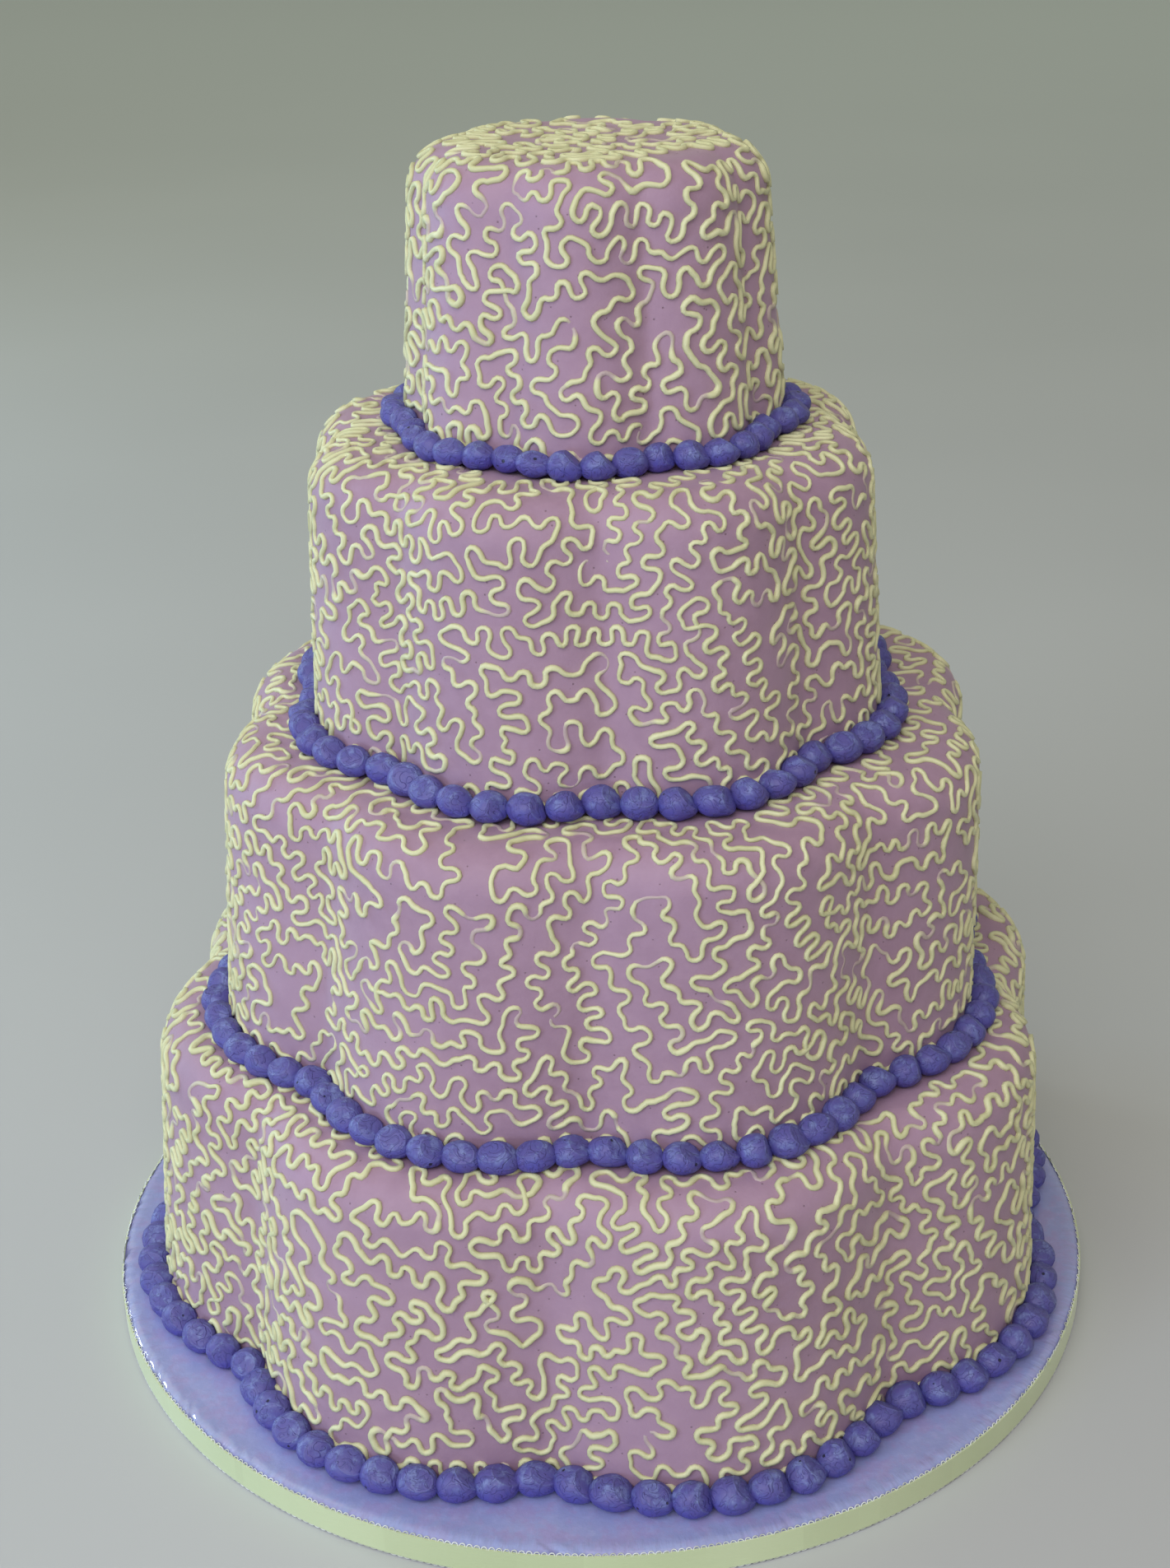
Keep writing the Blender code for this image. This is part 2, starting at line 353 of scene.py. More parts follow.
TIERS = (
    tier("bottom", 0.1868, 0.1219, 0.0061, -7.4, (0.0017, 0.0045), 0.02, 83, 157, 0.00117),
    tier("third", 0.1528, 0.1171, 0.0044, -2.6, (0.0031, 0.0045), 0.03, 75, 160, 0.00098),
    tier("second", 0.1110, 0.1103, 0.0048, 1.3, (0.0039, 0.0045), -0.01, 55, 178, 0.00098),
    tier("top", 0.0698, 0.1003, 0.0064, 16.5, (0.0054, 0.0045), -0.01, 41, 175, 0.00107),
)
ABOVE = dict(zip(TIERS, TIERS[1:]))


def petal(angle, turn):
    """Share of the petal-tip radius at an angle."""
    wave = np.sin(PETALS / 2 * (angle - turn))
    crest = np.hypot(wave, GROOVE_SOFTNESS) / math.hypot(1.0, GROOVE_SOFTNESS)
    return 1.0 - GROOVE_DEPTH * np.maximum(0.0, 1.0 - crest) ** PETAL_FULLNESS


def wall_length(cake):
    return cake.height - SHOULDER


def shoulder_end(cake):
    return wall_length(cake) + SHOULDER * math.pi / 2


def flat_radius(cake):
    """Petal-tip radius where the flat top starts."""
    return cake.radius - cake.taper - SHOULDER


def on_tier(cake, angle, along, out=0.0):
    """Points on a tier's surface, moved out from its middle by a further distance."""
    wall = wall_length(cake)
    up = np.clip(along, 0.0, wall)
    rolled = np.clip(along - wall, 0.0, SHOULDER * math.pi / 2) / SHOULDER
    inward = np.clip(along - shoulder_end(cake), 0.0, flat_radius(cake))
    tip = cake.radius - cake.taper * up / wall - SHOULDER * (1 - np.cos(rolled)) - inward
    height = up + SHOULDER * np.sin(rolled)
    radius = tip * petal(angle, cake.turn) + out
    x = cake.centre[0] + cake.lean * height + radius * np.sin(angle)
    y = cake.centre[1] - radius * np.cos(angle)
    return np.stack([x, y, cake.foot + height], axis=-1)


def facing(cake, angle, along):
    """The surface's outward directions, from short steps round and up it."""
    step = 1e-4
    spin = step / cake.radius
    across = on_tier(cake, angle + spin, along) - on_tier(cake, angle - spin, along)
    upward = on_tier(cake, angle, along + step) - on_tier(cake, angle, along - step)
    normal = np.cross(across, upward)
    return normal / np.maximum(np.linalg.norm(normal, axis=1), 1e-12)[:, None]


for cake in TIERS:
    print(f"{cake.name} tier: foot at {cake.foot:.4f}, flat top within {flat_radius(cake):.4f}")

# %% [markdown]
# The sugar paste
#
# Real sugar paste is rolled out, draped over the cake and smoothed by hand, so it has no seam, and the light shows
# soft dents in it. Its shape follows a rule, so Geometry Nodes can make it: a flat grid is wrapped round the tier.
# The grid's width becomes the angle. Its height is cut in four equal bands, for the underside, the wall, the
# shoulder and the top, and each band has its own short sum. A noise then pushes the surface in and out by a hair.

# %% Finish of the sugar paste
def sugar_paste_finish():
    material, shader, place = new_finish("sugar_paste", Sheen_Weight=0.12, Sheen_Roughness=0.5)
    cloudy = noise(place, 14.0, detail=3.0)
    mottled = noise(place, 160.0, detail=4.0, roughness=0.6)
    grain = noise(place, 900.0, detail=3.0)
    pore = 1 - cells(place, 210.0).step(0.05, 0.09)
    colour = cloudy.step(0.35, 0.65).blend((0.367, 0.223, 0.337), (0.414, 0.258, 0.385))
    colour = (mottled.step(0.35, 0.75) * 0.35).blend(colour, (0.465, 0.298, 0.431))
    # the pores are darkened: painted shade inside each pit
    colour = (pore * 0.6).blend(colour, (0.13, 0.07, 0.10))
    height = grain + 2.0 * mottled - 2.0 * pore
    dress(shader, Base_Color=colour, Roughness=0.50 + 0.16 * mottled, Normal=bump(height, 0.00018, 0.5))
    return material


SUGAR_PASTE = sugar_paste_finish()

# %% Geometry Nodes tree of the sugar paste
BANDS = 4


def sugar_paste_tree():
    inputs = {
        "Radius": (NUMBER, 0.1), "Taper": (NUMBER, 0.005), "Height": (NUMBER, 0.1), "Shoulder": (NUMBER, SHOULDER),
        "Turn": (NUMBER, 0.0), "Lean": (NUMBER, 0.0), "Centre": (ARROW, (0.0, 0.0, 0.0)),
        "Petals": (WHOLE, PETALS), "Groove Depth": (NUMBER, GROOVE_DEPTH),
        "Groove Softness": (NUMBER, GROOVE_SOFTNESS), "Fullness": (NUMBER, PETAL_FULLNESS),
        "Sides": (WHOLE, 240), "Rows In A Band": (WHOLE, 16), "Dent": (NUMBER, 0.0003), "Dent Size": (NUMBER, 0.05),
    }
    wire, given = new_shape_tree("sugar paste", inputs)
    sides = given["Sides"] + 1
    rows = given["Rows In A Band"] * BANDS + 1
    flat = wire.node("GeometryNodeMeshGrid", sockets={0: 1.0, 1: 1.0, 2: sides, 3: rows})
    x, y, _ = wire.node("GeometryNodeInputPosition").parts()
    angle = (x + 0.5) * (2 * math.pi)
    band = (y + 0.5) * BANDS

    underside = band.within(0.0, 1.0)
    wall = (band - 1).within(0.0, 1.0)
    rolled = (band - 2).within(0.0, 1.0) * (math.pi / 2)
    inward = (band - 3).within(0.0, 1.0)
    rim = given["Radius"] - given["Taper"]
    flat_tip = rim - given["Shoulder"]
    tip = given["Radius"] * underside - given["Taper"] * wall
    tip = tip - given["Shoulder"] * (1 - wire.maths("COSINE", rolled)) - flat_tip * inward
    height = (given["Height"] - given["Shoulder"]) * wall + given["Shoulder"] * wire.maths("SINE", rolled)

    wave = wire.maths("SINE", given["Petals"] / 2 * (angle - given["Turn"]))
    softness = given["Groove Softness"]
    crest = ((wave * wave + softness * softness) / (1 + softness * softness)) ** 0.5
    radius = tip * (1 - given["Groove Depth"] * (1 - crest).within(0.0, 1.0) ** given["Fullness"])
    centre_x, centre_y, foot = given["Centre"].parts()
    place = wire.vector(
        centre_x + given["Lean"] * height + radius * wire.maths("SINE", angle),
        centre_y - radius * wire.maths("COSINE", angle),
        foot + height,
    )
    wrapped = set_points(flat, Position=place)
    closed = wire.node("GeometryNodeMergeByDistance", sockets={"Geometry": wrapped, "Distance": 1e-6})

    here = wire.node("GeometryNodeInputPosition")
    above_foot = (here.parts()[2] - foot) / given["Dent Size"]
    dents = noise(here, 1 / given["Dent Size"], detail=1.0)
    push = (dents - 0.5) * 2 * given["Dent"] * above_foot.within(0.0, 1.0)
    return finish_tree(pushed_out(closed, push), SUGAR_PASTE)


PASTE_TREE = sugar_paste_tree()

# %% Cover the four tiers
SIDE_STEP = 0.0024  # metres between the points round a tier


def cover_tier(cake):
    sides = round(2 * math.pi * cake.radius / SIDE_STEP)
    sizes = {
        "Radius": cake.radius, "Taper": cake.taper, "Height": cake.height, "Turn": cake.turn, "Lean": cake.lean,
        "Centre": (*cake.centre, cake.foot), "Sides": sides,
    }
    return plain_mesh(f"paste_{cake.name}", PASTE_TREE, sizes)


paste = {cake: cover_tier(cake) for cake in TIERS}

# %% [markdown]
# Planning the piped line
#
# The lace is one thin line that wanders over the whole tier, never straight and never across itself. To plan a line
# that visits every place, scatter dots over the tier, join them by twigs into one tree with no rings in it, and walk
# round the tree with one hand on it. The walk comes back to its start and never crosses itself. Each dot has six
# neighbours, in rows that are shifted by half a step, and the twigs are drawn at random.

# %% Dots and twigs
DOT_SPACING = 0.0245
DOT_JITTER = 0.25  # share of the spacing
WALK_ASIDE = 0.24  # how far from a twig the walk keeps, as a share of its length
LACE_LOW = 0.0005  # the line starts behind the pearls
TOP_STEPS = range(-6, 7)  # rows and columns of dots on a flat top, counted from its middle
rng = random.Random(7)


def around(key):
    """The keys of the six neighbours of a dot, counterclockwise."""
    row, column = key
    shift = row % 2
    return (
        (row, column + 1), (row + 1, column + shift), (row + 1, column - 1 + shift),
        (row, column - 1), (row - 1, column - 1 + shift), (row - 1, column + shift),
    )


def wall_dots(cake, high):
    """Dots on a tier's wall and shoulder, as {key: (angle, along)}, with the number of columns."""
    columns = round(2 * math.pi * cake.radius / DOT_SPACING)
    rows = round((high - LACE_LOW) / (DOT_SPACING * math.sqrt(3) / 2))
    dots = {}
    for row in range(rows):
        for column in range(columns):
            angle = 2 * math.pi * (column + 0.5 * (row % 2) + rng.uniform(-1, 1) * DOT_JITTER) / columns
            along = LACE_LOW + (high - LACE_LOW) * (row + 0.5 + rng.uniform(-1, 1) * DOT_JITTER) / rows
            dots[row, column] = (angle, along)
    return dots, columns


def top_dots(cake, reach):
    """Dots on a tier's flat top, within a radius of its middle."""
    dots = {}
    for row in TOP_STEPS:
        for column in TOP_STEPS:
            x = (column + 0.5 * (row % 2) + rng.uniform(-1, 1) * DOT_JITTER) * DOT_SPACING
            y = (row * math.sqrt(3) / 2 + rng.uniform(-1, 1) * DOT_JITTER) * DOT_SPACING
            if math.hypot(x, y) < reach + DOT_SPACING / 4:
                angle = math.atan2(x, -y)
                tip = min(math.hypot(x, y) / float(petal(angle, cake.turn)), reach)
                dots[row, column] = (angle, shoulder_end(cake) + flat_radius(cake) - tip)
    return dots


def grow_twigs(dots, wrap):
    """A tree that joins all the dots, as a set of (dot, dot) in both directions."""
    links = []
    for key in sorted(dots):
        for other in around(key)[:3]:
            other = (other[0], wrap(other[1]))
            if other in dots:
                links.append((rng.random(), key, other))
    group = {key: {key} for key in dots}
    twigs = set()
    for _, one, other in sorted(links):
        if group[one] is not group[other]:
            joined = group[one] | group[other]
            for key in joined:
                group[key] = joined
            twigs |= {(one, other), (other, one)}
    return twigs


# %% The walk round the twigs
def walk_round(cake, dots, columns=None):
    """Points of a closed line that goes once round the tree, beside its twigs and round its dots."""
    wrap = (lambda column: column % columns) if columns else (lambda column: column)
    twigs = grow_twigs(dots, wrap)
    keys = list(dots)
    places = np.array([dots[key] for key in keys])
    spots = dict(zip(keys, on_tier(cake, places[:, 0], places[:, 1])))
    outward = dict(zip(keys, facing(cake, places[:, 0], places[:, 1])))

    def neighbour(key, turn):
        row, column = around(key)[turn]
        return row, wrap(column)

    def is_twig(key, turn):
        return (key, neighbour(key, turn)) in twigs

    key = min(keys)
    turn = next(k for k in range(6) if is_twig(key, k))
    start = (key, turn)
    line = []
    while True:
        here = spots[key]
        twig = spots[neighbour(key, turn)] - here
        line.append(here + twig / 2 + np.cross(outward[key], twig) * WALK_ASIDE)
        turn = (turn + 1) % 6
        while not is_twig(key, turn):
            towards = spots.get(neighbour(key, turn))
            if towards is not None:
                line.append(here + (towards - here) * (0.5 - WALK_ASIDE))
            turn = (turn + 1) % 6
        key = neighbour(key, turn)
        turn = (turn + 3) % 6
        if (key, turn) == start:
            return np.array(line)


# %% [markdown]
# Letting the line grow
#
# The walk is still stiff. A hand that pipes this lace makes small lobes, each turned away from the last, and fills
# every gap at about the same spacing. That is how a growing thread behaves when it may not cross itself: new points
# are put into it all the time, near points push each other away, and the thread has to buckle sideways. So the walk
# is treated as such a thread, with some stretches that grow faster and buckle into tighter lobes. It is grown on
# the tier's own surface, to the length per area that the lace has.

# %% Helpers for the thread
def nearest_place(cake, points):
    """(angle, along) of the places on a tier that are nearest to points close to it."""
    height = points[:, 2] - cake.foot
    x = points[:, 0] - cake.centre[0] - cake.lean * height
    y = points[:, 1] - cake.centre[1]
    angle = np.arctan2(x, -y)
    tip = np.hypot(x, y) / petal(angle, cake.turn)
    over = height - wall_length(cake)
    beyond = tip - flat_radius(cake)
    rolled = wall_length(cake) + SHOULDER * np.arctan2(np.maximum(over, 0.0), np.maximum(beyond, 1e-9))
    along = np.where(over <= 0, height, np.where(beyond > 0, rolled, shoulder_end(cake) - beyond))
    return angle, np.clip(along, LACE_LOW, shoulder_end(cake) + flat_radius(cake) - 1e-4)


def clear_of_tier_above(cake, points, margin):
    """Moves points that would lie under the next tier outwards, to a margin from its wall."""
    if cake not in ABOVE:
        return points
    above = ABOVE[cake]
    x = points[:, 0] - above.centre[0]
    y = points[:, 1] - above.centre[1]
    reach = above.radius * petal(np.arctan2(x, -y), above.turn) + margin
    spread = np.maximum(1.0, reach / np.maximum(np.hypot(x, y), 1e-9))
    on_top = points[:, 2] > cake.foot + wall_length(cake)
    spread = np.where(on_top, spread, 1.0)
    moved = points.copy()
    moved[:, 0] = above.centre[0] + x * spread
    moved[:, 1] = above.centre[1] + y * spread
    return moved


def near_pairs(points, reach):
    """Pairs of points that may be closer than reach, from a sort of the cells that they are in."""
    cell = np.floor(points / reach).astype(np.int64)
    cell -= cell.min(axis=0) - 1
    rows, layers = cell[:, 1].max() + 2, cell[:, 2].max() + 2
    key = (cell[:, 0] * rows + cell[:, 1]) * layers + cell[:, 2]
    order = np.argsort(key, kind="stable")
    ranked = key[order]
    firsts, seconds = [], []
    for along_x, along_y in ((0, 0), (0, 1), (1, -1), (1, 0), (1, 1)):
        want = key + (along_x * rows + along_y) * layers
        low = np.searchsorted(ranked, want - 1, "left")
        count = np.searchsorted(ranked, want + 1, "right") - low
        first = np.repeat(np.arange(len(points)), count)
        rank = np.arange(count.sum()) - np.repeat(np.cumsum(count) - count, count)
        second = order[np.repeat(low, count) + rank]
        if (along_x, along_y) == (0, 0):
            first, second = first[first < second], second[first < second]
        firsts.append(first)
        seconds.append(second)
    return np.concatenate(firsts), np.concatenate(seconds)


def ring_neighbours(loop):
    """For each point of several closed lines, the one before it and the one after it."""
    before = np.arange(len(loop)) - 1
    after = np.arange(len(loop)) + 1
    for number in np.unique(loop):
        inside = np.flatnonzero(loop == number)
        before[inside[0]], after[inside[-1]] = inside[-1], inside[0]
    return before, after


def even_steps(line, step):
    """A closed line's points at equal steps."""
    closed = np.vstack([line, line[:1]])
    travelled = np.concatenate([[0.0], np.cumsum(np.linalg.norm(np.diff(closed, axis=0), axis=1))])
    stops = np.linspace(0.0, travelled[-1], max(8, round(travelled[-1] / step)), endpoint=False)
    return np.stack([np.interp(stops, travelled, closed[:, axis]) for axis in range(3)], axis=1)


def soften(line, steps):
    """A closed line, rounded by a bell-shaped average over a number of steps."""
    reach = np.arange(-round(3 * steps), round(3 * steps) + 1)
    weights = np.exp(-(reach**2) / (2 * steps**2))
    weights /= weights.sum()
    return sum(weight * np.roll(line, shift, axis=0) for shift, weight in zip(reach, weights))


def smooth_random(source, count, every):
    """A slow random wave round a closed line, with a new random height about every so many points."""
    heights = source.normal(size=max(4, round(count / every)))
    place = np.arange(count) / count * len(heights)
    low = np.floor(place).astype(int)
    share = place - low
    share = share * share * (3 - 2 * share)
    return heights[low % len(heights)] * (1 - share) + heights[(low + 1) % len(heights)] * share


# %% Grow the thread
THREAD_STEP = 0.0012
THREAD_GAP = 0.0046  # points nearer than this push each other away
THREAD_ROUNDS = 100
GROWTH = 0.015  # share of the points that is added in a round
STRETCH, STIFFNESS, PUSH, TREMBLE = 0.35, 0.02, 0.0006, 0.00015
LONGEST_MOVE = 0.0008
UNDER_PEARLS = 0.004  # how near the line comes to the wall of the tier above
EAGERNESS, EAGER_EVERY = 0.35, 10  # how much faster some stretches grow, and their length in points
JERK, JERK_EVERY = 0.00032, 3.5  # the hand's small jerks, in metres and in points of the thread
MEAN_RADIUS, MEAN_TOP_RADIUS = 0.97, 0.95  # over all angles, as shares of the radius at a petal's tip


def grow_thread(cake, lines, area):
    noise_source = np.random.default_rng(len(lines) + cake.pearls)
    lines = [soften(even_steps(line, THREAD_STEP), 1.0) for line in lines]
    points = np.vstack(lines)
    loop = np.repeat(np.arange(len(lines)), [len(line) for line in lines])
    eager = np.exp(EAGERNESS * smooth_random(noise_source, len(points), EAGER_EVERY))
    for _ in range(THREAD_ROUNDS):
        before, after = ring_neighbours(loop)
        if np.linalg.norm(points[after] - points, axis=1).sum() < cake.lace * area:
            share = eager / eager.sum()
            chosen = noise_source.choice(len(points), int(len(points) * GROWTH), replace=False, p=share)
            chosen = np.sort(chosen)
            middle = (points[chosen] + points[after[chosen]]) / 2
            points = np.insert(points, chosen + 1, middle, axis=0)
            loop = np.insert(loop, chosen + 1, loop[chosen])
            eager = np.insert(eager, chosen + 1, eager[chosen])
            before, after = ring_neighbours(loop)
        ahead = points[after] - points
        size = np.linalg.norm(ahead, axis=1)
        pull = ahead * (STRETCH * (size - THREAD_STEP) / np.maximum(size, 1e-9))[:, None]
        move = pull - pull[before] + STIFFNESS * ((points[before] + points[after]) / 2 - points)

        first, second = near_pairs(points, THREAD_GAP)
        between = points[first] - points[second]
        distance = np.linalg.norm(between, axis=1)
        close = (distance < THREAD_GAP) & (np.abs(first - second) > 2)
        first, second, between, distance = first[close], second[close], between[close], distance[close]
        force = between * (PUSH * (1 - distance / THREAD_GAP) / np.maximum(distance, 1e-9))[:, None]
        for axis in range(3):
            move[:, axis] += np.bincount(first, force[:, axis], len(points))
            move[:, axis] -= np.bincount(second, force[:, axis], len(points))

        size = np.linalg.norm(move, axis=1)
        move *= np.minimum(1.0, LONGEST_MOVE / np.maximum(size, 1e-12))[:, None]
        points = points + move + noise_source.normal(size=points.shape) * TREMBLE
        points = clear_of_tier_above(cake, points, UNDER_PEARLS)
        points = on_tier(cake, *nearest_place(cake, points))
    jerks = [smooth_random(noise_source, len(points), JERK_EVERY) for _ in range(3)]
    points = on_tier(cake, *nearest_place(cake, points + JERK * np.stack(jerks, axis=1)))
    return [points[loop == number] for number in np.unique(loop)]


def lace_lines(cake):
    """The closed lines of one tier's lace."""
    high = shoulder_end(cake)
    if cake in ABOVE:
        high += max(0.0, flat_radius(cake) - ABOVE[cake].radius - UNDER_PEARLS)
    dots, columns = wall_dots(cake, high)
    lines = [walk_round(cake, dots, columns)]
    area = 2 * math.pi * MEAN_RADIUS * (cake.radius - cake.taper) * (high - LACE_LOW)
    if cake not in ABOVE:
        lines.append(walk_round(cake, top_dots(cake, flat_radius(cake))))
        area += math.pi * (MEAN_TOP_RADIUS * flat_radius(cake)) ** 2
    lines = grow_thread(cake, lines, area)
    length = sum(np.linalg.norm(line - np.roll(line, 1, axis=0), axis=1).sum() for line in lines)
    print(f"{cake.name}: {length:.1f} m of line, {length / area:.0f} m for each square metre")
    return lines


lines = {cake: lace_lines(cake) for cake in TIERS}

# %% [markdown]
# How thick the line is
#
# A hand squeezes the bag unevenly. Most of the line is a cord a little over two millimetres wide. Here and there the
# bag runs dry, and the cord sinks to a flat smear through which the paste shows, before the next stretch starts with
# a blob. So each point keeps a thickness, a random wave with blobs, and how dry the icing is there, from 0 to 1.

# %% Thickness along the line
CORD_STEP = 0.00135
FINE_STEP, ROUNDING = 0.0005, 1.1  # the line is rounded over so many fine steps
WIDTH_WAVES = ((0.08, 25), (0.09, 3))  # share of the width, and the points for each new random height
WIDTH_LIMITS = (0.75, 1.35)
DRY_EVERY = 0.085  # metres, on average
DRY_LENGTH, DRY_LENGTHS = 0.013, (0.4, 1.6)  # metres, and the shortest and longest as shares of it
DRYNESS, DRY_SLOPE = (0.55, 1.0), 1.4  # of the driest points, and how fast it is reached
BLOB_MOST, BLOB_PLACE, BLOB_LENGTH = 0.28, 1.25, 0.3  # share of the width, and shares of half the dry stretch
SINK = 1.0  # how far a dry stretch sinks into the paste, for each unit of the cord's half width


def cord_squeeze(source, count):
    """How thick the cord is along a closed line, as a share of its usual width, and how dry it is."""
    thick = np.ones(count)
    for share, every in WIDTH_WAVES:
        thick += share * smooth_random(source, count, every)
    dry = np.zeros(count)
    steps = np.arange(count)
    for middle in source.choice(count, max(1, round(count * CORD_STEP / DRY_EVERY)), replace=False):
        distance = (steps - middle + count // 2) % count - count // 2
        half = DRY_LENGTH * source.uniform(*DRY_LENGTHS) / CORD_STEP / 2
        dip = np.clip(DRY_SLOPE * (1 - np.abs(distance) / half), 0.0, 1.0)
        dry = np.maximum(dry, source.uniform(*DRYNESS) * dip * dip * (3 - 2 * dip))
        blob = np.exp(-(((distance - half * BLOB_PLACE) / (half * BLOB_LENGTH + 1)) ** 2))
        thick *= 1 + source.uniform(0.0, BLOB_MOST) * blob
    return np.clip(thick, *WIDTH_LIMITS), dry


def line_mesh(cake, lines):
    """The lines as a mesh of loose edges, with the outward direction, thickness and dryness on each point."""
    source = np.random.default_rng(cake.pearls)
    points, outs, thick, dry, edges = [], [], [], [], []
    for line in lines:
        line = even_steps(soften(even_steps(line, FINE_STEP), ROUNDING), CORD_STEP)
        place = nearest_place(cake, line)
        first = sum(len(part) for part in points)
        for values, part in zip((thick, dry), cord_squeeze(source, len(line))):
            values.append(part)
        outs.append(facing(cake, *place))
        points.append(on_tier(cake, *place) - outs[-1] * (SINK * cake.cord * dry[-1])[:, None])
        numbers = np.arange(len(line))
        edges.append(first + np.stack([numbers, (numbers + 1) % len(line)], axis=1))
    mesh = bpy.data.meshes.new(f"line_{cake.name}")
    mesh.from_pydata(np.vstack(points), np.vstack(edges).tolist(), [])
    mesh.attributes.new("out", "FLOAT_VECTOR", "POINT").data.foreach_set("vector", np.vstack(outs).ravel())
    mesh.attributes.new("thick", "FLOAT", "POINT").data.foreach_set("value", np.concatenate(thick))
    mesh.attributes.new("dry", "FLOAT", "POINT").data.foreach_set("value", np.concatenate(dry))
    return mesh


# %% [markdown]
# The icing of the lace, and the cord itself
#
# Royal icing dries matt with a soft shine. Where the cord has run dry the paste shows through, so the colour
# follows the dryness that each point keeps. The cord is made by Geometry Nodes, because it follows a path:
# the loose edges become curves, each point gets its width, and a five-sided profile is carried along with one flat
# side turned outwards, for a piped cord sinks a little under its own weight. Five sides are enough for a line this
# fine, since smooth shading rounds them.

# %% Finish of the lace
def lace_finish():
    material, shader, place = new_finish("lace_icing", Specular_IOR_Level=0.4)
    patches = noise(place, 60.0, detail=3.0)
    fine = noise(place, 700.0, detail=3.0)
    colour = patches.step(0.35, 0.65).blend((0.667, 0.662, 0.393), (0.747, 0.742, 0.468))
    colour = (kept(place, "dry").step(0.15, 1.0) * 0.9).blend(colour, (0.49, 0.36, 0.41))
    dress(shader, Base_Color=colour, Roughness=0.36 + 0.2 * patches, Normal=bump(fine, 0.00015, 0.5))
    return material


LACE_ICING = lace_finish()


# %% Geometry Nodes tree of the cord
def cord_tree():
    inputs = {
        "Half Width": (NUMBER, 0.0011), "Sides": (WHOLE, 5),
        "Lift": (NUMBER, 0.33),  # of the profile's middle over the paste, for each unit of its half width
    }
    wire, given = new_shape_tree("piped cord", inputs)
    thick = wire.node("GeometryNodeInputNamedAttribute", {"data_type": "FLOAT"}, {"Name": "thick"})
    out = wire.node("GeometryNodeInputNamedAttribute", {"data_type": "FLOAT_VECTOR"}, {"Name": "out"})
    path = wire.node("GeometryNodeMeshToCurve", sockets={"Mesh": given["Geometry"]})
    path = wire.node("GeometryNodeSetCurveNormal", {"mode": "FREE"}, {"Curve": path, "Normal": out})
    ring = wire.node("GeometryNodeCurvePrimitiveCircle", sockets={"Resolution": given["Sides"], "Radius": 1.0})
    half_a_side = wire.vector(0.0, 0.0, math.pi / given["Sides"])
    raised = wire.vector(given["Lift"], 0.0, 0.0)
    sockets = {"Geometry": ring, "Rotation": half_a_side, "Translation": raised}
    profile = wire.node("GeometryNodeTransform", sockets=sockets)
    sockets = {"Curve": path, "Profile Curve": profile, "Scale": thick * given["Half Width"]}
    return finish_tree(wire.node("GeometryNodeCurveToMesh", sockets=sockets), LACE_ICING)


CORD_TREE = cord_tree()


def pipe_lace(cake):
    return plain_mesh(f"lace_{cake.name}", CORD_TREE, {"Half Width": cake.cord}, line_mesh(cake, lines[cake]))


lace = {cake: pipe_lace(cake) for cake in TIERS}

# %% [markdown]
# The pearls
#
# A piped pearl is squeezed out against the wall, so it is a squat ball, with a side that the nozzle cut flat as it
# was pulled away and a blunt tip behind it. They stand in a string, so Geometry Nodes set them out along a path
# round the foot of the tier. There are five kinds, cut in different places. One is picked for each point of the
# path, turned a little at random and pushed by noise, so that no two are alike. Each point of a pearl remembers
# its place on the ball, how far it lay beyond the cut and a random number, and the finish draws folds from those.
# Its colour also carries painted shade in the folds and holes, painted highlights along the ridge and on the
# upper side, and painted light that makes the tops lighter and greyer.

# %% Finish of the pearls
def pearl_finish():
    material, shader, place = new_finish("pearl_icing", Specular_IOR_Level=0.5)
    x, y, z = kept(place, "own_place", out=1).parts()
    folds = noise(place.vector(x + 9.0 * kept(place, "chance"), y, z), 1.5, detail=1.0, distortion=1.2)
    terrace = folds.step(0.45, 0.49) + folds.step(0.56, 0.59)
    # dark lines along the folds, used as painted shade
    painted_fold_shade = folds.step(0.44, 0.47) * (1 - folds.step(0.47, 0.50))
    ridge = 1 - place.maths("ABSOLUTE", kept(place, "beyond_cut")).step(0.0, 0.07)

    sugar = noise(place, 480.0, detail=5.0, roughness=0.7)
    blotch = noise(place, 210.0, detail=3.0, roughness=0.6)
    hole = 1 - cells(place, 120.0).step(0.06, 0.085)
    # painted highlight: pale patches on the upper side and along the cut's ridge
    painted_highlight = (blotch.step(0.50, 0.36) * z.step(-0.1, 0.6) + ridge * 0.4).within(0.0, 1.0)
    # lighter and greyer towards each pearl's top: painted light from above
    colour = z.step(-0.7, 0.6).blend((0.078, 0.067, 0.420), (0.102, 0.102, 0.375))
    colour = (blotch.step(0.40, 0.65) * 0.5).blend(colour, (0.112, 0.085, 0.350))
    # painted highlight in pale cyan blue, broken up by the sugar grain
    colour = (painted_highlight * (0.25 + 0.5 * sugar.step(0.40, 0.64))).blend(colour, (0.230, 0.280, 0.600))
    # painted shade in the folds
    colour = (painted_fold_shade * 0.45).blend(colour, (0.045, 0.038, 0.20))
    # near-black painted shade inside the air holes
    colour = (hole * 0.9).blend(colour, (0.010, 0.008, 0.03))
    height = sugar * 0.3 + blotch * 0.25 + terrace * 0.3 + ridge * 0.2 - hole
    dress(shader, Base_Color=colour, Roughness=0.30 + 0.28 * sugar, Normal=bump(height, 0.0010, 0.8))
    return material


PEARL_ICING = pearl_finish()

